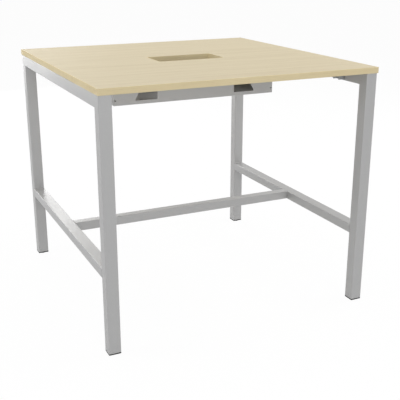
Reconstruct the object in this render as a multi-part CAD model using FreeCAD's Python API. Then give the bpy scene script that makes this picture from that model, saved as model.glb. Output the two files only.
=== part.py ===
import FreeCAD
import Part

import math
import os

from FreeCAD import Placement, Rotation, Vector

# Standing meeting table: a square board with a cable cut-out, on a welded square-tube
# underframe, with a folded cable tray hung under the board and a levelling foot in each leg.
#
# Millimetres. X runs along the front edge to the right, Y towards the back, Z up.
# The origin is on the floor, below the middle of the board.

# ---- Board ----
TABLE_HEIGHT = 1050.0
BOARD_WIDTH = 1200.0
BOARD_DEPTH = 1200.0
BOARD_THICKNESS = 25.0
BOARD_OVERHANG = 3.0
EDGING_THICKNESS = 2.0
EDGING_ARRIS_RADIUS = 1.5
EDGING_LEAST_FLAT = 0.2

# ---- Cable cut-out in the board ----
CUTOUT_WIDTH = 308.0
CUTOUT_DEPTH = 154.0
CUTOUT_CORNER_RADIUS = 8.0
CUTOUT_EDGING_THICKNESS = 1.5
CUTOUT_EDGING_GLUE_GAP = 0.05

# ---- Underframe tubes ----
LEG_SECTION = 50.0
TUBE_WALL = 2.0
TUBE_CORNER_RADIUS = 3.0
LOWER_RAIL_HEIGHT = 40.0
LOWER_RAIL_TOP_HEIGHT = 355.0
STRETCHER_SECTION = 40.0

# ---- Foot insert in the end of each leg ----
INSERT_FLANGE_THICKNESS = 5.0
INSERT_PLUG_HEIGHT = 30.0
INSERT_FIT = 0.1
INSERT_FIN_DEPTH = 3.0
INSERT_FIN_THICKNESS = 2.0
INSERT_FIN_COUNT = 2

# ---- Hexagon nut in the insert, and the levelling glide that screws into it ----
THREAD_DIAMETER = 10.0
THREAD_RUNNING_GAP = 0.05
NUT_WIDTH = 17.0
NUT_HEIGHT = 8.0
NUT_RECESS = 1.0
NUT_PRESS_GAP = 0.05
STUD_HEAD_WIDTH = 16.0
STUD_LENGTH = 36.8
STUD_BORE_GAP = 0.5
GLIDE_STANDOFF = 5.0
GLIDE_FLATS = 12
GLIDE_WIDTH = 40.0
GLIDE_SOLE_WIDTH = 33.0
GLIDE_SOLE_THICKNESS = 1.2
GLIDE_RIM_HEIGHT = 2.6
GLIDE_SEAT_GAP = 0.2
MOULDING_GAP = 0.02

# ---- Pressed brackets that hold the board to the top rails ----
BRACKET_REACH = 30.0
BRACKET_LENGTH = 40.0
BRACKET_HEIGHT = 45.0
BRACKET_SHEET = 2.5
BRACKET_INSIDE_RADIUS = 1.0
BRACKET_LEG_GAP = 104.0
BRACKET_RAIL_SCREW_RISE = 17.0

# ---- Cable tray ----
TRAY_LENGTH = 765.0
TRAY_WIDTH = 240.0
TRAY_DROP = 142.0
TRAY_SHEET = 1.5
TRAY_INSIDE_RADIUS = 1.5
TRAY_FLANGE_WIDTH = 22.0
TRAY_SCREWS_PER_FLANGE = 2
TRAY_SCREW_END_MARGIN = 30.0
TRAY_END_HOLE_DIAMETER = 7.0
TRAY_END_HOLE_EDGE = 3.5
TRAY_END_HOLE_HEIGHT = 22.0
TRAY_END_FOLD_STRIP = 10.0
TRAY_END_TOP_GAP = 3.0

# ---- Windows in the tray's front and back walls ----
WINDOW_INNER_EDGE = 184.0
WINDOW_BASE_WIDTH = 104.0
WINDOW_SILL_HEIGHT = 16.0
WINDOW_HEIGHT = 90.0
WINDOW_SLANT_DEGREES = 30.0
WINDOW_CORNER_RADIUS = 4.0

# ---- Screws ----
SCREW_HEAD_HEIGHT = 3.0
SCREW_HOLE_GAP = 0.05
BOARD_SCREW_DIAMETER = 4.5
BOARD_SCREW_LENGTH = 18.0
BOARD_SCREW_HEAD_WIDTH = 8.0
RAIL_SCREW_DIAMETER = 5.0
RAIL_SCREW_LENGTH = 12.0
RAIL_SCREW_HEAD_WIDTH = 9.0
PILOT_EXTRA_DEPTH = 1.0

# ---- Places worked out from the sizes above ----
BOARD_UNDERSIDE = TABLE_HEIGHT - BOARD_THICKNESS
LEG_BOTTOM = GLIDE_STANDOFF + INSERT_FLANGE_THICKNESS
GLIDE_TOP = GLIDE_STANDOFF - GLIDE_SEAT_GAP
FRAME_HALF_WIDTH = BOARD_WIDTH / 2 - BOARD_OVERHANG
FRAME_HALF_DEPTH = BOARD_DEPTH / 2 - BOARD_OVERHANG
RAIL_INNER_FACE = FRAME_HALF_WIDTH - LEG_SECTION
RAIL_CENTRE = FRAME_HALF_WIDTH - LEG_SECTION / 2
LEG_CENTRE_DEPTH = FRAME_HALF_DEPTH - LEG_SECTION / 2
LEG_INNER_FACE_DEPTH = FRAME_HALF_DEPTH - LEG_SECTION
TUBE_BORE = LEG_SECTION - 2 * TUBE_WALL
TRAY_FLOOR_HEIGHT = BOARD_UNDERSIDE - TRAY_DROP
TRAY_FLANGE_UNDERSIDE = BOARD_UNDERSIDE - TRAY_SHEET
BRACKET_FLANGE_UNDERSIDE = BOARD_UNDERSIDE - BRACKET_SHEET
BRACKET_BOTTOM = BOARD_UNDERSIDE - BRACKET_HEIGHT
BRACKET_PLACE = LEG_INNER_FACE_DEPTH - BRACKET_LEG_GAP - BRACKET_LENGTH / 2
RAIL_SCREW_HEIGHT = BRACKET_BOTTOM + BRACKET_RAIL_SCREW_RISE

SIDES = {"left": -1, "right": 1}
ENDS = {"front": -1, "back": 1}
CORNERS = [(end, side) for end in ENDS for side in SIDES]

UP = Vector(0, 0, 1)
ORIGIN = Vector(0, 0, 0)


# ---- Shared shapes ----

def rounded_outline(points, radii):
    """Straight edges through 3-D points, with an arc of its radius at each corner, or none at 0.

    With a radius for every point the run closes. With none for the two end points it stays open.
    """
    closed = len(radii) == len(points)
    corners = range(len(points)) if closed else range(1, len(points) - 1)
    joins = {}
    for order, index in enumerate(corners):
        if radii[order] == 0:
            continue
        corner = points[index]
        before = (points[index - 1] - corner).normalize()
        after = (points[(index + 1) % len(points)] - corner).normalize()
        half_angle = before.getAngle(after) / 2
        radius = radii[order]
        run = radius / math.tan(half_angle)
        middle = (before + after).normalize() * (radius / math.sin(half_angle) - radius)
        joins[index] = (corner + before * run, corner + middle, corner + after * run)
    edges = []
    for index in range(len(points) if closed else len(points) - 1):
        following = (index + 1) % len(points)
        start = joins[index][2] if index in joins else points[index]
        finish = joins[following][0] if following in joins else points[following]
        edges.append(Part.makeLine(start, finish))
        if following in joins:
            edges.append(Part.Arc(*joins[following]).toShape())
    return edges


def rounded_prism(points, radii, sweep):
    """A solid from a flat closed outline with rounded corners, swept along a vector."""
    return Part.Face(Part.Wire(rounded_outline(points, radii))).extrude(sweep)


def rectangle(width, depth, height=0.0):
    """The corners of a level rectangle centred on the Z axis."""
    half_width = width / 2
    half_depth = depth / 2
    return [
        Vector(-half_width, -half_depth, height),
        Vector(half_width, -half_depth, height),
        Vector(half_width, half_depth, height),
        Vector(-half_width, half_depth, height),
    ]


def rounded_block(width, depth, radius, bottom, top):
    """An upright block centred on the Z axis with rounded upright edges."""
    return rounded_prism(rectangle(width, depth, bottom), [radius] * 4, UP * (top - bottom))


def tube(width, depth, length):
    """A rectangular tube standing on the origin, rounded outside like rolled tube, with a plain bore."""
    outside = rounded_block(width, depth, TUBE_CORNER_RADIUS, 0, length)
    return outside.cut(rounded_block(width - 2 * TUBE_WALL, depth - 2 * TUBE_WALL, 0, 0, length))


def folded_sheet(points, thickness, inside_radius, turns, sweep):
    """A folded sheet: one skin runs through the points, the other lies a thickness to its left.

    turns holds +1 for a fold to the left and -1 for a fold to the right, seen along the run with
    the sweep pointing at the viewer.
    """
    normal = Vector(sweep).normalize()
    steps = [(points[i + 1] - points[i]).normalize() for i in range(len(points) - 1)]
    lefts = [normal.cross(step) for step in steps]
    far = [points[0] + lefts[0] * thickness]
    for index in range(len(turns)):
        far.append(points[index + 1] + (lefts[index] + lefts[index + 1]) * thickness)
    far.append(points[-1] + lefts[-1] * thickness)
    outside_radius = inside_radius + thickness
    near_radii = [outside_radius if turn > 0 else inside_radius for turn in turns]
    far_radii = [inside_radius if turn > 0 else outside_radius for turn in turns]
    edges = rounded_outline(points, near_radii)
    edges.append(Part.makeLine(points[-1], far[-1]))
    edges += rounded_outline(list(reversed(far)), list(reversed(far_radii)))
    edges.append(Part.makeLine(far[0], points[0]))
    return Part.Face(Part.Wire(edges)).extrude(sweep)


def flat_sided(sides, sections):
    """An upright solid on the Z axis with level even-sided sections: (width across flats, height)."""
    rings = []
    for width, height in sections:
        corner_radius = width / 2 / math.cos(math.pi / sides)
        turns = [2 * math.pi * (number + 0.5) / sides for number in range(sides + 1)]
        rings.append([
            Vector(corner_radius * math.cos(turn), corner_radius * math.sin(turn), height)
            for turn in turns
        ])
    outlines = [rings[0], rings[-1]]
    for lower, upper in zip(rings, rings[1:]):
        for number in range(sides):
            low, next_low = lower[number:number + 2]
            high, next_high = upper[number:number + 2]
            outlines.append([low, next_low, next_high, high, low])
    faces = [Part.Face(Part.makePolygon(outline)) for outline in outlines]
    return Part.Solid(Part.Shell(faces))


def hexagon(across_flats, bottom, top):
    """An upright hexagonal prism on the Z axis."""
    return flat_sided(6, [(across_flats, bottom), (across_flats, top)])


def hexagon_screw(diameter, length, head_width):
    """A screw pointing up, its head below the level it clamps at, its shank a plain hexagon."""
    head = hexagon(head_width, -SCREW_HEAD_HEIGHT, 0)
    shank = hexagon(diameter * math.cos(math.radians(30)), 0, length)
    return head.fuse(shank)


def hole(diameter, start, axis, length):
    """The cylinder that a drill takes out."""
    return Part.makeCylinder(diameter / 2, length, start, axis)


def placed(shape, position, axis=UP):
    """A copy of an upright shape, tipped so that its Z axis lies along axis, and set at position."""
    copy = shape.copy()
    copy.Placement = Placement(position, Rotation(UP, axis))
    return copy


# ---- Where the screws stand ----

def tray_screw_places():
    """Points on the board's underside over the screws of both tray flanges."""
    reach = TRAY_LENGTH / 2 - TRAY_SCREW_END_MARGIN
    pitch = 2 * reach / (TRAY_SCREWS_PER_FLANGE - 1)
    depth = TRAY_WIDTH / 2 + TRAY_FLANGE_WIDTH / 2
    return [
        Vector(-reach + pitch * number, end * depth, BOARD_UNDERSIDE)
        for end in ENDS.values()
        for number in range(TRAY_SCREWS_PER_FLANGE)
    ]


def bracket_board_screw_places():
    """Points on the board's underside over the board screws of the four brackets."""
    inset = RAIL_INNER_FACE - BRACKET_REACH / 2
    return [
        Vector(SIDES[side] * inset, ENDS[end] * BRACKET_PLACE, BOARD_UNDERSIDE)
        for end, side in CORNERS
    ]


def bracket_rail_screw_places(side):
    """Points on the inner face of one top rail at the screws of its two brackets."""
    face = SIDES[side] * RAIL_INNER_FACE
    return [
        Vector(face, direction * BRACKET_PLACE, RAIL_SCREW_HEIGHT) for direction in ENDS.values()
    ]


# ---- Board and its edging ----

def board():
    """The board without its edging, cut out for cables and drilled for the screws below."""
    core_width = BOARD_WIDTH - 2 * EDGING_THICKNESS
    core_depth = BOARD_DEPTH - 2 * EDGING_THICKNESS
    corner = Vector(-core_width / 2, -core_depth / 2, BOARD_UNDERSIDE)
    core = Part.makeBox(core_width, core_depth, BOARD_THICKNESS, corner)
    opening = rounded_block(
        CUTOUT_WIDTH + 2 * CUTOUT_EDGING_THICKNESS,
        CUTOUT_DEPTH + 2 * CUTOUT_EDGING_THICKNESS,
        CUTOUT_CORNER_RADIUS + CUTOUT_EDGING_THICKNESS,
        BOARD_UNDERSIDE,
        TABLE_HEIGHT,
    )
    core = core.cut(opening)
    pilot = BOARD_SCREW_DIAMETER + 2 * SCREW_HOLE_GAP
    tray_depth = BOARD_SCREW_LENGTH - TRAY_SHEET + PILOT_EXTRA_DEPTH
    bracket_depth = BOARD_SCREW_LENGTH - BRACKET_SHEET + PILOT_EXTRA_DEPTH
    drills = [hole(pilot, place, UP, tray_depth) for place in tray_screw_places()]
    drills += [hole(pilot, place, UP, bracket_depth) for place in bracket_board_screw_places()]
    return core.cut(drills)


def rounded_strip(length, outer_face):
    """An edging strip along X, its outer face looking along -Y, with the two long arrises rounded."""
    start = -length / 2
    inner_face = outer_face + EDGING_THICKNESS
    section = [
        Vector(start, outer_face, BOARD_UNDERSIDE),
        Vector(start, inner_face, BOARD_UNDERSIDE),
        Vector(start, inner_face, TABLE_HEIGHT),
        Vector(start, outer_face, TABLE_HEIGHT),
    ]
    arris = min(EDGING_ARRIS_RADIUS, EDGING_THICKNESS - EDGING_LEAST_FLAT)
    return rounded_prism(section, [arris, 0, 0, arris], Vector(length, 0, 0))


def edge_strips():
    """The four strips round the board: front and back run through, left and right fit between."""
    front = rounded_strip(BOARD_WIDTH, -BOARD_DEPTH / 2)
    between = BOARD_DEPTH - 2 * EDGING_THICKNESS
    right = rounded_strip(between, -BOARD_WIDTH / 2)
    right.rotate(ORIGIN, UP, 90)
    across_x = Vector(1, 0, 0)
    across_y = Vector(0, 1, 0)
    return {
        "edging_front": front,
        "edging_back": front.mirror(ORIGIN, across_y),
        "edging_right": right,
        "edging_left": right.mirror(ORIGIN, across_x),
    }


def cutout_edging():
    """The thin strip glued round the inside of the cut-out."""
    glued = CUTOUT_EDGING_THICKNESS - CUTOUT_EDGING_GLUE_GAP
    outside = rounded_block(
        CUTOUT_WIDTH + 2 * glued,
        CUTOUT_DEPTH + 2 * glued,
        CUTOUT_CORNER_RADIUS + glued,
        BOARD_UNDERSIDE,
        TABLE_HEIGHT,
    )
    inside = rounded_block(
        CUTOUT_WIDTH, CUTOUT_DEPTH, CUTOUT_CORNER_RADIUS, BOARD_UNDERSIDE, TABLE_HEIGHT
    )
    return outside.cut(inside)


# ---- Underframe ----

def mitre_waste(end, of_leg):
    """The wedge that the 45 degree cut at one top corner of a side frame takes off the leg or rail."""
    direction = ENDS[end]
    outer = Vector(0, direction * FRAME_HALF_DEPTH, BOARD_UNDERSIDE)
    inner = Vector(0, direction * LEG_INNER_FACE_DEPTH, BOARD_UNDERSIDE - LEG_SECTION)
    beyond = outer + (outer - inner)
    before = inner - (outer - inner)
    spare = Vector(0, before.y, beyond.z) if of_leg else Vector(0, beyond.y, before.z)
    wedge = Part.Face(Part.makePolygon([beyond, before, spare, beyond]))
    reach = 2 * FRAME_HALF_WIDTH + LEG_SECTION
    wedge.translate(Vector(-reach / 2, 0, 0))
    return wedge.extrude(Vector(reach, 0, 0))


def leg(end, side):
    """An upright tube, mitred at the top where it meets the top rail."""
    upright = tube(LEG_SECTION, LEG_SECTION, BOARD_UNDERSIDE - LEG_BOTTOM)
    upright.translate(Vector(SIDES[side] * RAIL_CENTRE, ENDS[end] * LEG_CENTRE_DEPTH, LEG_BOTTOM))
    return upright.cut(mitre_waste(end, of_leg=True))


def top_rail(side):
    """The rail under one side of the board, mitred to the legs at both ends."""
    rail = tube(LEG_SECTION, LEG_SECTION, 2 * FRAME_HALF_DEPTH)
    rail.rotate(ORIGIN, Vector(1, 0, 0), -90)
    height = BOARD_UNDERSIDE - LEG_SECTION / 2
    rail.translate(Vector(SIDES[side] * RAIL_CENTRE, -FRAME_HALF_DEPTH, height))
    wastes = [mitre_waste(end, of_leg=False) for end in ENDS]
    outward = Vector(SIDES[side], 0, 0)
    clearance = RAIL_SCREW_DIAMETER + 2 * SCREW_HOLE_GAP
    drills = [hole(clearance, place, outward, TUBE_WALL) for place in bracket_rail_screw_places(side)]
    return rail.cut(wastes + drills)


def lower_rail(side):
    """The rail between the two legs of one side, butted against both."""
    rail = tube(LEG_SECTION, LOWER_RAIL_HEIGHT, 2 * LEG_INNER_FACE_DEPTH)
    rail.rotate(ORIGIN, Vector(1, 0, 0), -90)
    height = LOWER_RAIL_TOP_HEIGHT - LOWER_RAIL_HEIGHT / 2
    rail.translate(Vector(SIDES[side] * RAIL_CENTRE, -LEG_INNER_FACE_DEPTH, height))
    return rail


def stretcher():
    """The tube between the two lower rails, its top level with theirs."""
    bar = tube(STRETCHER_SECTION, STRETCHER_SECTION, 2 * RAIL_INNER_FACE)
    bar.rotate(ORIGIN, Vector(0, 1, 0), 90)
    height = LOWER_RAIL_TOP_HEIGHT - STRETCHER_SECTION / 2
    bar.translate(Vector(-RAIL_INNER_FACE, 0, height))
    return bar


# ---- Feet ----

def leg_axis(end, side):
    """The point on the floor under the middle of one leg."""
    return Vector(SIDES[side] * RAIL_CENTRE, ENDS[end] * LEG_CENTRE_DEPTH, 0)


def foot_insert():
    """The plastic plug in a leg's end: a flange, a finned plug, a nut pocket and a six-sided bore."""
    flange = rounded_block(LEG_SECTION, LEG_SECTION, TUBE_CORNER_RADIUS, GLIDE_STANDOFF, LEG_BOTTOM)
    fin_width = TUBE_BORE - 2 * INSERT_FIT
    core_width = fin_width - 2 * INSERT_FIN_DEPTH
    plug_top = LEG_BOTTOM + INSERT_PLUG_HEIGHT
    plug = [rounded_block(core_width, core_width, 0, LEG_BOTTOM, plug_top)]
    fin_pitch = INSERT_PLUG_HEIGHT / INSERT_FIN_COUNT
    for number in range(INSERT_FIN_COUNT):
        fin_top = LEG_BOTTOM + fin_pitch * (number + 1)
        fin_bottom = fin_top - INSERT_FIN_THICKNESS
        plug.append(rounded_block(fin_width, fin_width, 0, fin_bottom, fin_top))
    body = flange.fuse(plug).removeSplitter()
    pocket_top = GLIDE_STANDOFF + NUT_RECESS + NUT_HEIGHT
    pocket = hexagon(NUT_WIDTH + 2 * NUT_PRESS_GAP, GLIDE_STANDOFF, pocket_top)
    bore = hexagon(THREAD_DIAMETER + 2 * STUD_BORE_GAP, pocket_top, plug_top)
    return body.cut([pocket, bore])


def foot_nut():
    """The hexagon nut pressed into the insert from below."""
    bottom = GLIDE_STANDOFF + NUT_RECESS
    thread = THREAD_DIAMETER + 2 * THREAD_RUNNING_GAP
    return hexagon(NUT_WIDTH, bottom, bottom + NUT_HEIGHT).cut(
        hole(thread, Vector(0, 0, bottom), UP, NUT_HEIGHT)
    )


def glide_stud():
    """The stud: a hexagon head that lies in the glide's base, level with its top, and a shank."""
    head = hexagon(STUD_HEAD_WIDTH, GLIDE_SOLE_THICKNESS, GLIDE_TOP)
    shank_length = GLIDE_SOLE_THICKNESS + STUD_LENGTH - GLIDE_TOP
    return head.fuse(hole(THREAD_DIAMETER, Vector(0, 0, GLIDE_TOP), UP, shank_length))


def glide_base():
    """The plastic base that stands on the floor, twelve-sided, narrower at the sole."""
    base = flat_sided(GLIDE_FLATS, [
        (GLIDE_SOLE_WIDTH, 0),
        (GLIDE_WIDTH, GLIDE_TOP - GLIDE_RIM_HEIGHT),
        (GLIDE_WIDTH, GLIDE_TOP),
    ])
    pocket_bottom = GLIDE_SOLE_THICKNESS - MOULDING_GAP
    return base.cut(hexagon(STUD_HEAD_WIDTH + 2 * MOULDING_GAP, pocket_bottom, GLIDE_TOP))


# ---- Brackets ----

def board_bracket(end, side):
    """A pressed bracket: a plate on the rail, a flange under the board and a cheek at each end."""
    lip = RAIL_INNER_FACE - BRACKET_REACH
    plate_face = RAIL_INNER_FACE - BRACKET_SHEET
    half_length = BRACKET_LENGTH / 2
    cheek_face = half_length - BRACKET_SHEET
    outline = [
        Vector(lip, -half_length, BRACKET_BOTTOM),
        Vector(RAIL_INNER_FACE, -half_length, BRACKET_BOTTOM),
        Vector(RAIL_INNER_FACE, half_length, BRACKET_BOTTOM),
        Vector(lip, half_length, BRACKET_BOTTOM),
    ]
    hollow = [
        Vector(lip, -cheek_face, BRACKET_BOTTOM),
        Vector(plate_face, -cheek_face, BRACKET_BOTTOM),
        Vector(plate_face, cheek_face, BRACKET_BOTTOM),
        Vector(lip, cheek_face, BRACKET_BOTTOM),
    ]
    inner = BRACKET_INSIDE_RADIUS
    outer = inner + BRACKET_SHEET
    block = rounded_prism(outline, [0, outer, outer, 0], UP * BRACKET_HEIGHT)
    inside = rounded_prism(hollow, [0, inner, inner, 0], UP * (BRACKET_HEIGHT - BRACKET_SHEET))
    to_board = BOARD_SCREW_DIAMETER + 2 * SCREW_HOLE_GAP
    to_rail = RAIL_SCREW_DIAMETER + 2 * SCREW_HOLE_GAP
    flange_point = Vector(RAIL_INNER_FACE - BRACKET_REACH / 2, 0, BRACKET_FLANGE_UNDERSIDE)
    plate_point = Vector(plate_face, 0, RAIL_SCREW_HEIGHT)
    drills = [
        hole(to_board, flange_point, UP, BRACKET_SHEET),
        hole(to_rail, plate_point, Vector(1, 0, 0), BRACKET_SHEET),
    ]
    bracket = block.cut([inside] + drills)
    bracket.translate(Vector(0, ENDS[end] * BRACKET_PLACE, 0))
    if SIDES[side] < 0:
        bracket = bracket.mirror(ORIGIN, Vector(1, 0, 0))
    return bracket


def bracket_board_screws():
    """The screws that go up through the bracket flanges into the board."""
    screw = hexagon_screw(BOARD_SCREW_DIAMETER, BOARD_SCREW_LENGTH, BOARD_SCREW_HEAD_WIDTH)
    drop = UP * BRACKET_SHEET
    return Part.makeCompound([placed(screw, place - drop) for place in bracket_board_screw_places()])


def bracket_rail_screws():
    """The screws that go through the bracket plates into the walls of the top rails."""
    screw = hexagon_screw(RAIL_SCREW_DIAMETER, RAIL_SCREW_LENGTH, RAIL_SCREW_HEAD_WIDTH)
    screws = []
    for side, direction in SIDES.items():
        outward = Vector(direction, 0, 0)
        for place in bracket_rail_screw_places(side):
            screws.append(placed(screw, place - outward * BRACKET_SHEET, outward))
    return Part.makeCompound(screws)


# ---- Cable tray ----

def tray_window(side):
    """The prism that cuts one window through the tray's front and back walls."""
    sill = TRAY_FLOOR_HEIGHT + WINDOW_SILL_HEIGHT
    head = sill + WINDOW_HEIGHT
    outer_edge = WINDOW_INNER_EDGE + WINDOW_BASE_WIDTH
    slant = WINDOW_HEIGHT * math.tan(math.radians(WINDOW_SLANT_DEGREES))
    direction = SIDES[side]
    outline = [
        Vector(direction * WINDOW_INNER_EDGE, -TRAY_WIDTH, sill),
        Vector(direction * outer_edge, -TRAY_WIDTH, sill),
        Vector(direction * (outer_edge - slant), -TRAY_WIDTH, head),
        Vector(direction * WINDOW_INNER_EDGE, -TRAY_WIDTH, head),
    ]
    return rounded_prism(outline, [WINDOW_CORNER_RADIUS] * 4, Vector(0, 2 * TRAY_WIDTH, 0))


def tray_end(side):
    """The wall that closes one end of the tray: it is folded up from the floor."""
    end = SIDES[side] * TRAY_LENGTH / 2
    strip_start = end - SIDES[side] * TRAY_END_FOLD_STRIP
    inside = TRAY_WIDTH / 2 - TRAY_SHEET
    reach = SIDES[side] * (inside - TRAY_INSIDE_RADIUS)
    top = BOARD_UNDERSIDE - TRAY_END_TOP_GAP
    fold = [
        Vector(strip_start, reach, TRAY_FLOOR_HEIGHT),
        Vector(end, reach, TRAY_FLOOR_HEIGHT),
        Vector(end, reach, top),
    ]
    folded = folded_sheet(fold, TRAY_SHEET, TRAY_INSIDE_RADIUS, [1], Vector(0, -2 * reach, 0))
    wall_bottom = TRAY_FLOOR_HEIGHT + TRAY_SHEET + TRAY_INSIDE_RADIUS
    wall_start = Vector(min(end, end - SIDES[side] * TRAY_SHEET), -inside, wall_bottom)
    wall = Part.makeBox(TRAY_SHEET, 2 * inside, top - wall_bottom, wall_start)
    return folded.fuse(wall)


def cable_tray():
    """The tray: a sheet folded to a trough with a flange along each of its long top edges."""
    wall = TRAY_WIDTH / 2
    lip = wall + TRAY_FLANGE_WIDTH
    start = -TRAY_LENGTH / 2
    section = [
        Vector(start, -lip, TRAY_FLANGE_UNDERSIDE),
        Vector(start, -wall, TRAY_FLANGE_UNDERSIDE),
        Vector(start, -wall, TRAY_FLOOR_HEIGHT),
        Vector(start, wall, TRAY_FLOOR_HEIGHT),
        Vector(start, wall, TRAY_FLANGE_UNDERSIDE),
        Vector(start, lip, TRAY_FLANGE_UNDERSIDE),
    ]
    folds = [-1, 1, 1, -1]
    along = Vector(TRAY_LENGTH, 0, 0)
    channel = folded_sheet(section, TRAY_SHEET, TRAY_INSIDE_RADIUS, folds, along)
    flat = wall - TRAY_SHEET - TRAY_INSIDE_RADIUS
    floor_length = TRAY_LENGTH - 2 * TRAY_END_FOLD_STRIP
    strips = Part.makeBox(TRAY_LENGTH, 2 * flat, TRAY_SHEET, Vector(start, -flat, TRAY_FLOOR_HEIGHT))
    kept_start = Vector(-floor_length / 2, -flat, TRAY_FLOOR_HEIGHT)
    kept = Part.makeBox(floor_length, 2 * flat, TRAY_SHEET, kept_start)
    channel = channel.cut(strips.cut(kept))
    sheet = channel.fuse([tray_end(side) for side in SIDES]).removeSplitter()
    cuts = [tray_window(side) for side in SIDES]
    clearance = BOARD_SCREW_DIAMETER + 2 * SCREW_HOLE_GAP
    cuts += [hole(clearance, place, -UP, TRAY_SHEET) for place in tray_screw_places()]
    end_hole_x = TRAY_LENGTH / 2 - TRAY_END_HOLE_EDGE - TRAY_END_HOLE_DIAMETER / 2
    end_hole_z = TRAY_FLOOR_HEIGHT + TRAY_END_HOLE_HEIGHT
    for direction in SIDES.values():
        start_point = Vector(direction * end_hole_x, -TRAY_WIDTH, end_hole_z)
        cuts.append(hole(TRAY_END_HOLE_DIAMETER, start_point, Vector(0, 1, 0), 2 * TRAY_WIDTH))
    return sheet.cut(cuts)


def tray_screws():
    """The screws that hold the tray's flanges up against the board."""
    screw = hexagon_screw(BOARD_SCREW_DIAMETER, BOARD_SCREW_LENGTH, BOARD_SCREW_HEAD_WIDTH)
    drop = UP * TRAY_SHEET
    return Part.makeCompound([placed(screw, place - drop) for place in tray_screw_places()])


# ---- The whole table, piece by piece ----

def table_pieces():
    """Every piece of the table by name, where it stands."""
    pieces = {"table_board": board(), "cutout_edging": cutout_edging()}
    pieces.update(edge_strips())
    for side in SIDES:
        pieces[f"top_rail_{side}"] = top_rail(side)
        pieces[f"lower_rail_{side}"] = lower_rail(side)
    pieces["stretcher"] = stretcher()
    foot_pieces = {
        "foot_insert": foot_insert(),
        "foot_nut": foot_nut(),
        "glide_stud": glide_stud(),
        "glide_base": glide_base(),
    }
    for end, side in CORNERS:
        pieces[f"leg_{end}_{side}"] = leg(end, side)
        pieces[f"board_bracket_{end}_{side}"] = board_bracket(end, side)
        for name, shape in foot_pieces.items():
            pieces[f"{name}_{end}_{side}"] = placed(shape, leg_axis(end, side))
    pieces["bracket_board_screws"] = bracket_board_screws()
    pieces["bracket_rail_screws"] = bracket_rail_screws()
    pieces["cable_tray"] = cable_tray()
    pieces["tray_screws"] = tray_screws()
    return pieces


os.makedirs("parts", exist_ok=True)
for piece_name, piece in table_pieces().items():
    piece.exportStep(f"parts/{piece_name}.step")
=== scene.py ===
import math

import bpy
from mathutils import Matrix, Vector


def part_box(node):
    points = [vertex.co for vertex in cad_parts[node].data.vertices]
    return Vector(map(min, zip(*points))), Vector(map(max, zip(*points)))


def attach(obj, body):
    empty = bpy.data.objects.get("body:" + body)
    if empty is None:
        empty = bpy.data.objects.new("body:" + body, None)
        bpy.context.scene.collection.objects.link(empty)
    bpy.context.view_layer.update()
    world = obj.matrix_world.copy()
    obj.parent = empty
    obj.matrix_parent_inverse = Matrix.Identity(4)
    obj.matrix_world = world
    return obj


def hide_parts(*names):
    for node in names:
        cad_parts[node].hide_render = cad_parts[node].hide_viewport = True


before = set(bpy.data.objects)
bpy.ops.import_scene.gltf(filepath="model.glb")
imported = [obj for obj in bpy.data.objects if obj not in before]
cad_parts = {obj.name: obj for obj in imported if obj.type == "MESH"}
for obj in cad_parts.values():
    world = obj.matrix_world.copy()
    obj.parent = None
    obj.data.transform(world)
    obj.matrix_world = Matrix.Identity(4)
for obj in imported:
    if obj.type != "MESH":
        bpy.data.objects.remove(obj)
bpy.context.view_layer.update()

# Standing meeting table: maple laminate board with a cable cut-out, silver powder-coated
# square-tube frame with a cable tray under the board, black levelling feet.
# Metres. X runs along the front edge to the right, Y towards the back, Z up from the floor.

SIDES = {"left": -1, "right": 1}
ENDS = {"front": -1, "back": 1}
CORNERS = [(end, side) for end in ENDS for side in SIDES]
MM = 0.001
SMOOTH_ANGLE = math.radians(30)


# ---------- Helpers ----------

def select_only(piece):
    bpy.ops.object.select_all(action="DESELECT")
    piece.select_set(True)
    bpy.context.view_layer.objects.active = piece


def select_faces(piece, wanted):
    """In edit mode: selects only the faces for which wanted(face) is true."""
    bpy.ops.object.mode_set(mode="OBJECT")
    for vertex in piece.data.vertices:
        vertex.select = False
    for edge in piece.data.edges:
        edge.select = False
    for face in piece.data.polygons:
        face.select = bool(wanted(face))
    bpy.ops.object.mode_set(mode="EDIT")
    bpy.ops.mesh.select_mode(type="FACE")


def select_edges(piece, wanted):
    """In edit mode: selects only the edges for which wanted(start, end) is true."""
    bpy.ops.object.mode_set(mode="OBJECT")
    places = [vertex.co for vertex in piece.data.vertices]
    for face in piece.data.polygons:
        face.select = False
    for vertex in piece.data.vertices:
        vertex.select = False
    for edge in piece.data.edges:
        edge.select = bool(wanted(places[edge.vertices[0]], places[edge.vertices[1]]))
    bpy.ops.object.mode_set(mode="EDIT")
    bpy.ops.mesh.select_mode(type="EDGE")


def place_copy(piece, move, turn=None):
    """A copy of a piece with its own mesh, turned about the origin and then moved."""
    copy = piece.copy()
    copy.data = piece.data.copy()
    bpy.context.collection.objects.link(copy)
    matrix = Matrix.Translation(move)
    if turn is not None:
        matrix = matrix @ turn.to_4x4()
    copy.data.transform(matrix)
    return copy


def join(pieces):
    bpy.ops.object.select_all(action="DESELECT")
    for piece in pieces:
        piece.select_set(True)
    bpy.context.view_layer.objects.active = pieces[0]
    bpy.ops.object.join()
    return pieces[0]


def finish_piece(piece, name, material, body, nodes=()):
    """Names a modelled piece, gives it its finish, and hangs it on the body that carries it."""
    piece.name = name
    piece.data.name = name
    piece.data.materials.clear()
    piece.data.materials.append(material)
    select_only(piece)
    bpy.ops.object.transform_apply(location=True, rotation=True, scale=True)
    bpy.ops.object.shade_smooth_by_angle(angle=SMOOTH_ANGLE)
    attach(piece, body)
    if nodes:
        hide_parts(*nodes)


# ---------- Materials ----------

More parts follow.
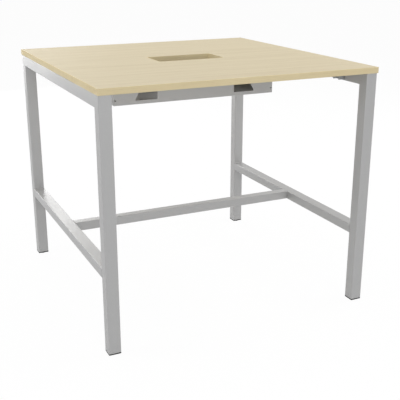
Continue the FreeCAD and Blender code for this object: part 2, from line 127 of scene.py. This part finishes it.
class Finish:
    """A new node material with short calls for the nodes that the finishes share."""

    def __init__(self, name):
        self.material = bpy.data.materials.new(name)
        self.material.use_nodes = True
        self.nodes = self.material.node_tree.nodes
        self.links = self.material.node_tree.links
        self.shader = self.nodes["Principled BSDF"]
        self.place = self.nodes.new("ShaderNodeTexCoord").outputs["Object"]

    def stretched(self, scale, turn_z=0.0):
        mapping = self.nodes.new("ShaderNodeMapping")
        mapping.inputs["Rotation"].default_value = (0, 0, turn_z)
        mapping.inputs["Scale"].default_value = scale
        self.links.new(self.place, mapping.inputs["Vector"])
        return mapping.outputs["Vector"]

    def noise(self, vector, scale, detail=2.0, roughness=0.5, distortion=0.0):
        noise = self.nodes.new("ShaderNodeTexNoise")
        noise.inputs["Scale"].default_value = scale
        noise.inputs["Detail"].default_value = detail
        noise.inputs["Roughness"].default_value = roughness
        noise.inputs["Distortion"].default_value = distortion
        self.links.new(vector, noise.inputs["Vector"])
        return noise.outputs["Fac"]

    def ramp(self, value, stops):
        ramp = self.nodes.new("ShaderNodeValToRGB")
        elements = ramp.color_ramp.elements
        while len(elements) < len(stops):
            elements.new(0.5)
        for element, (position, colour) in zip(elements, stops):
            element.position = position
            element.color = (*colour, 1.0)
        self.links.new(value, ramp.inputs["Fac"])
        return ramp.outputs["Color"]

    def levels(self, value, low, high, to_low, to_high):
        levels = self.nodes.new("ShaderNodeMapRange")
        levels.inputs["From Min"].default_value = low
        levels.inputs["From Max"].default_value = high
        levels.inputs["To Min"].default_value = to_low
        levels.inputs["To Max"].default_value = to_high
        self.links.new(value, levels.inputs["Value"])
        return levels.outputs["Result"]

    def mix(self, factor, first, second, blend="MIX"):
        mix = self.nodes.new("ShaderNodeMix")
        mix.data_type = "RGBA"
        mix.blend_type = blend
        entries = (mix.inputs[0], mix.inputs[6], mix.inputs[7])
        for entry, value in zip(entries, (factor, first, second)):
            if isinstance(value, bpy.types.NodeSocket):
                self.links.new(value, entry)
            else:
                entry.default_value = (*value, 1.0) if isinstance(value, tuple) else value
        return mix.outputs[2]

    def math(self, operation, first, second=None):
        node = self.nodes.new("ShaderNodeMath")
        node.operation = operation
        for entry, value in zip(node.inputs, (first, second)):
            if value is None:
                continue
            if isinstance(value, bpy.types.NodeSocket):
                self.links.new(value, entry)
            else:
                entry.default_value = value
        return node.outputs["Value"]

    def bump(self, height, distance, strength):
        bump = self.nodes.new("ShaderNodeBump")
        bump.inputs["Strength"].default_value = strength
        bump.inputs["Distance"].default_value = distance
        self.links.new(height, bump.inputs["Height"])
        self.links.new(bump.outputs["Normal"], self.shader.inputs["Normal"])

    def set(self, **values):
        for name, value in values.items():
            socket = self.shader.inputs[name.replace("_", " ")]
            if isinstance(value, bpy.types.NodeSocket):
                self.links.new(value, socket)
            elif isinstance(value, tuple):
                socket.default_value = (*value, 1.0)
            else:
                socket.default_value = value


MAPLE_LIGHT = (0.703, 0.616, 0.437)
MAPLE_MEDIUM = (0.667, 0.578, 0.402)
MAPLE_DARK = (0.599, 0.506, 0.335)
MAPLE_PORE = (0.508, 0.411, 0.261)
FIBRE_SHADE = (0.88, 0.865, 0.84)
BOARD_TONE = (1.02, 1.035, 1.07)
# The edging tone makes the edging warmer than the board, and lighter than it as painted light on
# the upright edge faces.
EDGING_TONE_AND_PAINTED_LIGHT = (1.23, 1.205, 1.09)
GLUE_LINE = 0.2 * MM


def maple(name, turn_z, tone_and_painted_light, seam_from=None):
    """Pale maple decor with straight grain along X, or along Y when turned.

    With seam_from, a dark glue line fades in just inside that distance from the middle.
    """
    finish = Finish(name)
    band_place = finish.stretched((1.0, 16.0, 16.0), turn_z)
    bands = finish.noise(band_place, 1.6, detail=3.0, distortion=0.6)
    fibre_place = finish.stretched((3.0, 150.0, 150.0), turn_z)
    fibres = finish.noise(fibre_place, 2.2, detail=4.0, roughness=0.6)
    fleck_place = finish.stretched((28.0, 620.0, 620.0), turn_z)
    flecks = finish.noise(fleck_place, 1.5, detail=1.0)
    colour = finish.ramp(bands, [(0.30, MAPLE_DARK), (0.50, MAPLE_MEDIUM), (0.68, MAPLE_LIGHT)])
    base = finish.mix(0.6, colour, MAPLE_MEDIUM)
    lines = finish.ramp(fibres, [(0.32, FIBRE_SHADE), (0.58, (1.0, 1.0, 1.0))])
    grained = finish.mix(0.55, base, lines, "MULTIPLY")
    fleck_share = finish.levels(flecks, 0.64, 0.76, 0.0, 0.45)
    flecked = finish.mix(fleck_share, grained, MAPLE_PORE)
    # The tone multiplies the decor: the board's own tone, and for the edging a warmer tone lifted
    # lighter as painted light.
    toned_and_lit = finish.mix(1.0, flecked, tone_and_painted_light, "MULTIPLY")
    if seam_from is not None:
        axes = finish.nodes.new("ShaderNodeSeparateXYZ")
        finish.links.new(finish.place, axes.inputs["Vector"])
        reach = finish.math("MAXIMUM", finish.math("ABSOLUTE", axes.outputs["X"]),
                            finish.math("ABSOLUTE", axes.outputs["Y"]))
        seam = finish.levels(reach, seam_from - GLUE_LINE, seam_from, 0.0, 0.6)
        toned_and_lit = finish.mix(seam, toned_and_lit, MAPLE_PORE)
    finish.set(Base_Color=toned_and_lit, Roughness=finish.levels(fibres, 0.3, 0.7, 0.66, 0.58))
    finish.set(Specular_IOR_Level=0.04)
    finish.bump(fibres, 0.04 * MM, 0.35)
    return finish.material


def silver_powder_coat(name):
    """Silver-grey powder coat: a faint orange peel and fine aluminium flake."""
    finish = Finish(name)
    peel = finish.noise(finish.place, 420.0, detail=2.0)
    flake = finish.noise(finish.place, 2600.0, detail=1.0)
    cloud = finish.noise(finish.place, 3.0, detail=2.0)
    coat = finish.ramp(flake, [(0.35, (0.450, 0.450, 0.450)), (0.65, (0.490, 0.490, 0.490))])
    finish.set(Base_Color=coat, Roughness=finish.levels(cloud, 0.3, 0.7, 0.38, 0.43))
    finish.set(Metallic=0.2, Specular_IOR_Level=0.4)
    finish.bump(peel, 0.08 * MM, 0.35)
    return finish.material


def black_plastic(name):
    """Black moulded plastic with a fine spark-eroded grain."""
    finish = Finish(name)
    grain = finish.noise(finish.place, 1800.0, detail=2.0)
    cloud = finish.noise(finish.place, 60.0, detail=2.0)
    colour = finish.ramp(cloud, [(0.3, (0.004, 0.004, 0.004)), (0.7, (0.007, 0.007, 0.007))])
    finish.set(Base_Color=colour, Roughness=finish.levels(cloud, 0.3, 0.7, 0.52, 0.62))
    finish.set(Specular_IOR_Level=0.12)
    finish.bump(grain, 0.05 * MM, 0.4)
    return finish.material


def zinc_plate(name):
    """Dull zinc plating with faint cloudy patches and fine rolling lines."""
    finish = Finish(name)
    patches = finish.noise(finish.place, 140.0, detail=3.0, distortion=0.8)
    lines = finish.noise(finish.stretched((60.0, 60.0, 900.0)), 1.5, detail=2.0)
    colour = finish.ramp(patches, [(0.3, (0.37, 0.38, 0.39)), (0.7, (0.44, 0.45, 0.46))])
    finish.set(Base_Color=colour, Roughness=finish.levels(patches, 0.3, 0.7, 0.38, 0.52))
    finish.set(Metallic=0.85)
    finish.bump(lines, 0.02 * MM, 0.3)
    return finish.material


board_low, board_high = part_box("table_board")
MAPLE_BOARD = maple("maple_board", 0.0, BOARD_TONE, board_high.x)
# Edging copies of the maple, painted lighter than the board as painted light on the edge faces.
MAPLE_EDGE_X = maple("maple_edging_along_x", 0.0, EDGING_TONE_AND_PAINTED_LIGHT)
MAPLE_EDGE_Y = maple("maple_edging_along_y", math.radians(90), EDGING_TONE_AND_PAINTED_LIGHT)
SILVER = silver_powder_coat("silver_powder_coat")
BLACK = black_plastic("black_plastic")
ZINC = zinc_plate("zinc_plate")

# Node names by how they start, and the finish of those nodes; the first that fits is taken.
NODE_FINISHES = [
    ("table_board", MAPLE_BOARD),
    ("cutout_edging", MAPLE_EDGE_X),
    ("edging_front", MAPLE_EDGE_X),
    ("edging_back", MAPLE_EDGE_X),
    ("edging_left", MAPLE_EDGE_Y),
    ("edging_right", MAPLE_EDGE_Y),
    ("leg_", SILVER),
    ("top_rail_", SILVER),
    ("lower_rail_", SILVER),
    ("stretcher", SILVER),
    ("cable_tray", SILVER),
    ("foot_insert_", BLACK),
    ("glide_base_", BLACK),
    ("foot_nut_", ZINC),
    ("glide_stud_", ZINC),
    ("board_bracket_", ZINC),
    ("bracket_", ZINC),
    ("tray_screws", ZINC),
]

for node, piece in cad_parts.items():
    finish = next(material for start, material in NODE_FINISHES if node.startswith(start))
    for slot in piece.material_slots:
        slot.material = finish


# ---------- Screws, levelling feet and weld beads ----------

ON_PLANE = 0.01 * MM
SCREW_HEAD_HEIGHT = 3.0 * MM
SCREW_DOME_SHARE = 0.42
SCREW_CORE_SHARE = 0.72
SCREW_TIP_SHARE = 1.4
SCREW_PITCH_SHARE = 0.8
SCREW_POINT_SHARE = 0.1
SCREW_SIDES = 24
SCREW_THREAD_STEPS = 14
RECESS_RADIUS = 1.9 * MM
RECESS_WAIST = 0.72
RECESS_DEPTH = 0.6 * SCREW_HEAD_HEIGHT
RECESS_TAPER = 0.92
SCREW_TURN = math.radians(41)
BOARD_SCREW_RADIUS = 2.25 * MM
BOARD_SCREW_HEAD_RADIUS = 4.3 * MM
BOARD_SCREW_LENGTH = 18.0 * MM
RAIL_SCREW_RADIUS = 2.5 * MM
RAIL_SCREW_HEAD_RADIUS = 4.8 * MM
RAIL_SCREW_LENGTH = 12.0 * MM
RAIL_SCREW_RISE = 17.0 * MM
BRACKET_SHEET = 2.5 * MM
TRAY_SHEET = 1.5 * MM
TRAY_SCREW_INSET = 11.0 * MM
TRAY_SCREW_END_MARGIN = 30.0 * MM

STUD_BOTTOM = 1.2 * MM
STUD_HEAD_TOP = 4.7 * MM
STUD_TOP = 38.0 * MM
STUD_HEAD_CORNER = 9.2 * MM
STUD_RADIUS = 4.98 * MM
STUD_CORE_RADIUS = 4.15 * MM
STUD_PITCH = 1.5 * MM
STUD_TIP_CHAMFER = 0.8 * MM
STUD_SHANK_SIDES = 32
STUD_THREAD_STEPS = 28
THREAD_ROOT_DEPTH = 0.1
THREAD_TOOTH_SHARE = 0.45

GLIDE_SIDES = 48
GLIDE_RADIUS = 20.0 * MM
GLIDE_SOLE_RADIUS = 16.5 * MM
GLIDE_CONE_TOP = 2.2 * MM
GLIDE_TOP = 4.8 * MM
GLIDE_POCKET_RADIUS = 9.5 * MM
GLIDE_POCKET_DEPTH = 1.0 * MM
GLIDE_RIM_ROUND = 0.5 * MM
NOTCH_MARGIN = 0.35 * MM
NOTCH_DEPTH = 0.6 * MM
FINE_ROUND = 0.3 * MM

WELD_RADIUS = 2.2 * MM
WELD_SIDES = 12
WELD_RIPPLE = 1.3 * MM
WELD_BURIED = 0.5 * MM
WELD_VALLEY_SHARE = 0.84
WELD_END_SHARE = 0.45
RAIL_WELD_LENGTH = 42.0 * MM
STRETCHER_WELD_LENGTH = 34.0 * MM


def push_faces(piece, wanted, inset, push, scale=1.0):
    """Insets the wanted faces, pushes what is inside them along, and scales it in plan."""
    select_faces(piece, wanted)
    if inset:
        bpy.ops.mesh.inset(thickness=inset)
    bpy.ops.mesh.extrude_region_move(TRANSFORM_OT_translate={"value": push})
    bpy.ops.transform.resize(value=(scale, scale, 1))
    bpy.ops.object.mode_set(mode="OBJECT")


def round_rim(piece, height, width, segments):
    """Rounds off the ring of edges that lies level at one height."""
    def on_ring(start, end):
        return max(abs(start.z - height), abs(end.z - height)) < ON_PLANE

    select_edges(piece, on_ring)
    bpy.ops.mesh.bevel(offset=width, segments=segments, profile=0.5)
    bpy.ops.object.mode_set(mode="OBJECT")


def upright_cylinder(radius, bottom, top, sides):
    bpy.ops.object.select_all(action="DESELECT")
    bpy.ops.mesh.primitive_cylinder_add(
        vertices=sides, radius=radius, depth=top - bottom, location=(0, 0, (bottom + top) / 2)
    )
    bpy.ops.object.transform_apply(location=True, rotation=True, scale=True)
    return bpy.context.object


def thread(core, crest, pitch, bottom, turns, steps):
    """A screw thread round the Z axis, wound up from the outline of one tooth."""
    bpy.ops.object.select_all(action="DESELECT")
    bpy.ops.mesh.primitive_circle_add(vertices=3, radius=crest)
    ridge = bpy.context.object
    root = core - THREAD_ROOT_DEPTH * (crest - core)
    half_tooth = THREAD_TOOTH_SHARE * pitch
    outline = [(crest, 0.0), (root, half_tooth), (root, -half_tooth)]
    for vertex, (reach, rise) in zip(ridge.data.vertices, outline):
        vertex.co = (reach, 0, bottom + rise)
    winding = ridge.modifiers.new("winding", "SCREW")
    winding.axis = "Z"
    winding.screw_offset = pitch
    winding.iterations = turns
    winding.steps = steps
    winding.render_steps = steps
    bpy.ops.object.modifier_apply(modifier="winding")
    bpy.ops.object.mode_set(mode="EDIT")
    bpy.ops.mesh.select_all(action="SELECT")
    bpy.ops.mesh.fill_holes(sides=3)
    bpy.ops.mesh.select_all(action="SELECT")
    bpy.ops.mesh.normals_make_consistent(inside=False)
    bpy.ops.object.mode_set(mode="OBJECT")
    return ridge


def pan_screw(head_radius, radius, length):
    """A pan-head screw pointing up, its head below 0, with a six-lobed recess and a thread."""
    screw = upright_cylinder(head_radius, -SCREW_HEAD_HEIGHT, 0, SCREW_SIDES)
    dome = SCREW_DOME_SHARE * SCREW_HEAD_HEIGHT
    round_rim(screw, -SCREW_HEAD_HEIGHT, dome, 4)
    core = SCREW_CORE_SHARE * radius
    tip = SCREW_TIP_SHARE * radius
    shank = length - tip
    push_faces(screw, lambda face: face.normal.z > 0.99, head_radius - core, (0, 0, shank))
    push_faces(screw, lambda face: face.center.z > shank - ON_PLANE, 0, (0, 0, tip),
               SCREW_POINT_SHARE)
    select_faces(screw, lambda face: face.normal.z < -0.99)
    bpy.ops.mesh.inset(thickness=head_radius - dome - RECESS_RADIUS)
    bpy.ops.object.mode_set(mode="OBJECT")
    recess = next(face for face in screw.data.polygons if face.select)
    for place, number in enumerate(recess.vertices):
        if place % 4 > 1:
            corner = screw.data.vertices[number]
            corner.co.x *= RECESS_WAIST
            corner.co.y *= RECESS_WAIST
    push_faces(screw, lambda face: face.index == recess.index, 0, (0, 0, RECESS_DEPTH),
               RECESS_TAPER)
    pitch = SCREW_PITCH_SHARE * radius
    turns = int(shank / pitch) - 2
    ridge = thread(core, radius, pitch, pitch, turns, SCREW_THREAD_STEPS)
    return join([screw, ridge])


def set_screws(pattern, name, node, places, axes):
    """Copies of one screw at their places, each along its axis, as one piece for their node."""
    copies = []
    for number, (place, axis) in enumerate(zip(places, axes)):
        lean = Vector((0, 0, 1)).rotation_difference(Vector(axis)).to_matrix()
        turn = Matrix.Rotation(number * SCREW_TURN, 3, "Z")
        copies.append(place_copy(pattern, Vector(place), lean @ turn))
    finish_piece(join(copies), name, ZINC, "table", [node])


def make_screws():
    upward = [(0, 0, 1)] * len(CORNERS)
    board_screw = pan_screw(BOARD_SCREW_HEAD_RADIUS, BOARD_SCREW_RADIUS, BOARD_SCREW_LENGTH)
    tray_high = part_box("cable_tray")[1]
    rows = tray_high.y - TRAY_SCREW_INSET
    reach = tray_high.x - TRAY_SCREW_END_MARGIN
    places = [(x, y, tray_high.z - TRAY_SHEET) for y in (-rows, rows) for x in (-reach, reach)]
    set_screws(board_screw, "tray_flange_screws", "tray_screws", places, upward)

    brackets = [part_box(f"board_bracket_{end}_{side}") for end, side in CORNERS]
    middles = [(low + high) / 2 for low, high in brackets]
    places = [(middle.x, middle.y, board_low.z - BRACKET_SHEET) for middle in middles]
    set_screws(board_screw, "bracket_flange_screws", "bracket_board_screws", places, upward)

    rail_screw = pan_screw(RAIL_SCREW_HEAD_RADIUS, RAIL_SCREW_RADIUS, RAIL_SCREW_LENGTH)
    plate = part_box("top_rail_right")[0].x - BRACKET_SHEET
    level = brackets[0][0].z + RAIL_SCREW_RISE
    places = [(SIDES[side] * plate, middle.y, level)
              for (end, side), middle in zip(CORNERS, middles)]
    outward = [(SIDES[side], 0, 0) for end, side in CORNERS]
    set_screws(rail_screw, "bracket_plate_screws", "bracket_rail_screws", places, outward)
    for pattern in (board_screw, rail_screw):
        bpy.data.objects.remove(pattern)


def glide_stud():
    """The M10 stud of a levelling foot: a thin hexagon head, a thread and a chamfered tip."""
    head = upright_cylinder(STUD_HEAD_CORNER, STUD_BOTTOM, STUD_HEAD_TOP, 6)
    round_rim(head, STUD_HEAD_TOP, FINE_ROUND, 2)
    shank = upright_cylinder(STUD_CORE_RADIUS, STUD_BOTTOM, STUD_TOP, STUD_SHANK_SIDES)
    round_rim(shank, STUD_TOP, STUD_TIP_CHAMFER, 1)
    turns = int((STUD_TOP - STUD_HEAD_TOP) / STUD_PITCH) - 1
    thread_bottom = STUD_HEAD_TOP + STUD_PITCH / 2
    ridge = thread(STUD_CORE_RADIUS, STUD_RADIUS, STUD_PITCH, thread_bottom, turns,
                   STUD_THREAD_STEPS)
    return join([head, shank, ridge])


def glide_base():
    """The plastic disc of a levelling foot, coned to its sole, with finger notches in its rim."""
    disc = upright_cylinder(GLIDE_RADIUS, GLIDE_CONE_TOP, GLIDE_TOP, GLIDE_SIDES)
    push_faces(disc, lambda face: face.normal.z < -0.99, 0, (0, 0, -GLIDE_CONE_TOP),
               GLIDE_SOLE_RADIUS / GLIDE_RADIUS)
    push_faces(disc, lambda face: face.normal.z > 0.99, GLIDE_RADIUS - GLIDE_POCKET_RADIUS,
               (0, 0, -GLIDE_POCKET_DEPTH))
    sector = math.radians(360) / GLIDE_SIDES

    def in_notch(face):
        number = int(math.atan2(face.center.y, face.center.x) // sector)
        reach = math.hypot(face.center.x, face.center.y)
        return abs(face.normal.z) < 0.1 and reach > GLIDE_SOLE_RADIUS and number % 4 < 2

    select_faces(disc, in_notch)
    bpy.ops.mesh.inset(thickness=NOTCH_MARGIN)
    bpy.ops.transform.shrink_fatten(value=NOTCH_DEPTH)
    bpy.ops.object.mode_set(mode="OBJECT")
    round_rim(disc, GLIDE_CONE_TOP, FINE_ROUND, 2)

    def on_top_rim(start, end):
        reach = math.hypot(start.x, start.y)
        return min(start.z, end.z) > GLIDE_TOP - ON_PLANE and reach > GLIDE_SOLE_RADIUS

    select_edges(disc, on_top_rim)
    bpy.ops.mesh.bevel(offset=GLIDE_RIM_ROUND, segments=3, profile=0.5)
    bpy.ops.object.mode_set(mode="OBJECT")
    return disc


def make_levelling_feet():
    stud = glide_stud()
    disc = glide_base()
    for end, side in CORNERS:
        low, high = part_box(f"glide_base_{end}_{side}")
        middle = (low + high) / 2
        on_axis = Vector((middle.x, middle.y, 0))
        foot = f"levelling_foot_{end}_{side}"
        finish_piece(place_copy(stud, on_axis), f"threaded_stud_{end}_{side}", ZINC,
                     foot, [f"glide_stud_{end}_{side}"])
        finish_piece(place_copy(disc, on_axis), f"glide_disc_{end}_{side}", BLACK,
                     foot, [f"glide_base_{end}_{side}"])
    for pattern in (stud, disc):
        bpy.data.objects.remove(pattern)


def weld_bead(length):
    """An upright bead of weld with the ripples of its passes and tapered ends."""
    bead = upright_cylinder(WELD_RADIUS, -length / 2, length / 2, WELD_SIDES)
    passes = 2 * int(length / WELD_RIPPLE / 2)
    select_edges(bead, lambda start, end: abs(start.z - end.z) > ON_PLANE)
    bpy.ops.mesh.subdivide(number_cuts=passes - 1)
    bpy.ops.object.mode_set(mode="OBJECT")
    ripple = length / passes

    def between_passes(start, end):
        return abs(start.z - end.z) < ON_PLANE and round((start.z + length / 2) / ripple) % 2 == 1

    def at_ends(start, end):
        return min(abs(start.z), abs(end.z)) > length / 2 - ON_PLANE

    for wanted, share in ((between_passes, WELD_VALLEY_SHARE), (at_ends, WELD_END_SHARE)):
        select_edges(bead, wanted)
        bpy.ops.transform.resize(value=(share, share, 1))
        bpy.ops.object.mode_set(mode="OBJECT")
    return bead


def make_weld_beads():
    """The beads where the rails meet the legs and the stretcher meets the lower rails."""
    rail_bead = weld_bead(RAIL_WELD_LENGTH)
    stretcher_bead = weld_bead(STRETCHER_WELD_LENGTH)
    level = Matrix.Rotation(math.radians(90), 3, "Y")
    rail_low, rail_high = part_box("lower_rail_right")
    top_rail_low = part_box("top_rail_right")[0]
    bar_low, bar_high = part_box("stretcher")
    out = WELD_BURIED
    heights = (rail_low.z - out, rail_high.z + out, top_rail_low.z - out)
    leg_face = rail_high.y - out
    bar_face = bar_high.y + out
    bar_middle = (bar_low.z + bar_high.z) / 2
    for side, direction in SIDES.items():
        rail_middle = direction * (rail_low.x + rail_high.x) / 2
        bar_end = direction * (bar_high.x - out)
        beads = [place_copy(rail_bead, Vector((rail_middle, way * leg_face, height)), level)
                 for way in ENDS.values() for height in heights]
        beads += [place_copy(stretcher_bead, Vector((bar_end, way * bar_face, bar_middle)))
                  for way in ENDS.values()]
        finish_piece(join(beads), f"weld_beads_{side}", SILVER, "table")
    for pattern in (rail_bead, stretcher_bead):
        bpy.data.objects.remove(pattern)


make_screws()
make_levelling_feet()
make_weld_beads()


# ---------- Floor, light and camera ----------

FLOOR_SIZE = 60.0
FLOOR_WHITE_SHARE = 0.965
FLOOR_COLOUR = (0.7, 0.7, 0.7)
ROOM_LIGHT = 0.33
TABLE_MIDDLE = (0, 0, 0.6)
LAMPS = [
    ("back_lamp", (-0.6, 5.0, 1.7), 3.0, 113),
    ("front_lamp", (-0.6, -8.0, 2.4), 4.0, 168),
    ("left_lamp", (-5.0, 0.6, 4.2), 3.0, 108),
    ("right_lamp", (3.3, -0.9, 4.3), 2.0, 55),
    ("right_low_lamp", (5.0, 0.5, 1.2), 3.0, 108),
    ("top_lamp", (0.0, 0.0, 5.0), 3.0, 42),
]
CAMERA_LENS = 66.786
CAMERA_PLACE = (-1.35914, -3.05199, 1.50159)
CAMERA_YAW = math.radians(25.14)
CAMERA_PITCH = math.radians(18.58)


def seen_rays(nodes, links):
    """1 for the rays that show a surface to the camera, straight, mirrored or through glass."""
    path = nodes.new("ShaderNodeLightPath")
    most = path.outputs["Is Camera Ray"]
    for name in ("Is Glossy Ray", "Is Transmission Ray"):
        larger = nodes.new("ShaderNodeMath")
        larger.operation = "MAXIMUM"
        links.new(most, larger.inputs[0])
        links.new(path.outputs[name], larger.inputs[1])
        most = larger.outputs["Value"]
    return most


def pale_floor():
    """A matt floor that looks white, with a faint shadow, and sends less light back up."""
    bpy.ops.object.select_all(action="DESELECT")
    bpy.ops.mesh.primitive_plane_add(size=FLOOR_SIZE, location=(0, 0, 0))
    floor = bpy.context.object
    floor.name = "floor"
    material = bpy.data.materials.new("pale_floor")
    material.use_nodes = True
    nodes = material.node_tree.nodes
    links = material.node_tree.links
    nodes.remove(nodes["Principled BSDF"])
    output = nodes["Material Output"]
    seen = seen_rays(nodes, links)
    matt = nodes.new("ShaderNodeBsdfDiffuse")
    tint = nodes.new("ShaderNodeMix")
    tint.data_type = "RGBA"
    tint.inputs[6].default_value = (*FLOOR_COLOUR, 1)
    tint.inputs[7].default_value = (1, 1, 1, 1)
    links.new(seen, tint.inputs[0])
    links.new(tint.outputs[2], matt.inputs["Color"])
    white = nodes.new("ShaderNodeEmission")
    white.inputs["Color"].default_value = (1, 1, 1, 1)
    share = nodes.new("ShaderNodeMath")
    share.operation = "MULTIPLY"
    links.new(seen, share.inputs[0])
    share.inputs[1].default_value = FLOOR_WHITE_SHARE
    mix = nodes.new("ShaderNodeMixShader")
    links.new(share.outputs["Value"], mix.inputs["Fac"])
    links.new(matt.outputs["BSDF"], mix.inputs[1])
    links.new(white.outputs["Emission"], mix.inputs[2])
    links.new(mix.outputs["Shader"], output.inputs["Surface"])
    floor.data.materials.append(material)


def soft_lamp(name, place, size, power):
    """A square lamp of the given size in metres and power in watts, aimed at the table."""
    lamp = bpy.data.lights.new(name, "AREA")
    lamp.shape = "SQUARE"
    lamp.size = size
    lamp.energy = power
    holder = bpy.data.objects.new(name, lamp)
    bpy.context.collection.objects.link(holder)
    holder.location = place
    aim = Vector(TABLE_MIDDLE) - Vector(place)
    holder.rotation_euler = aim.to_track_quat("-Z", "Y").to_euler()


def white_room():
    """White all round where it is seen, and a fainter even light elsewhere."""
    world = bpy.data.worlds.new("white_room")
    bpy.context.scene.world = world
    world.use_nodes = True
    nodes = world.node_tree.nodes
    links = world.node_tree.links
    background = nodes["Background"]
    background.inputs["Color"].default_value = (1, 1, 1, 1)
    level = nodes.new("ShaderNodeMapRange")
    level.inputs["To Min"].default_value = ROOM_LIGHT
    level.inputs["To Max"].default_value = 1.0
    links.new(seen_rays(nodes, links), level.inputs["Value"])
    links.new(level.outputs["Result"], background.inputs["Strength"])


def main_camera():
    camera = bpy.data.cameras.new("camera")
    camera.sensor_fit = "HORIZONTAL"
    camera.sensor_width = 36.0
    camera.lens = CAMERA_LENS
    holder = bpy.data.objects.new("camera", camera)
    bpy.context.collection.objects.link(holder)
    holder.location = CAMERA_PLACE
    holder.rotation_euler = (math.radians(90) - CAMERA_PITCH, 0, -CAMERA_YAW)
    bpy.context.scene.camera = holder


pale_floor()
white_room()
for lamp_name, lamp_place, lamp_size, lamp_power in LAMPS:
    soft_lamp(lamp_name, lamp_place, lamp_size, lamp_power)
main_camera()
bpy.context.scene.view_settings.view_transform = "Standard"
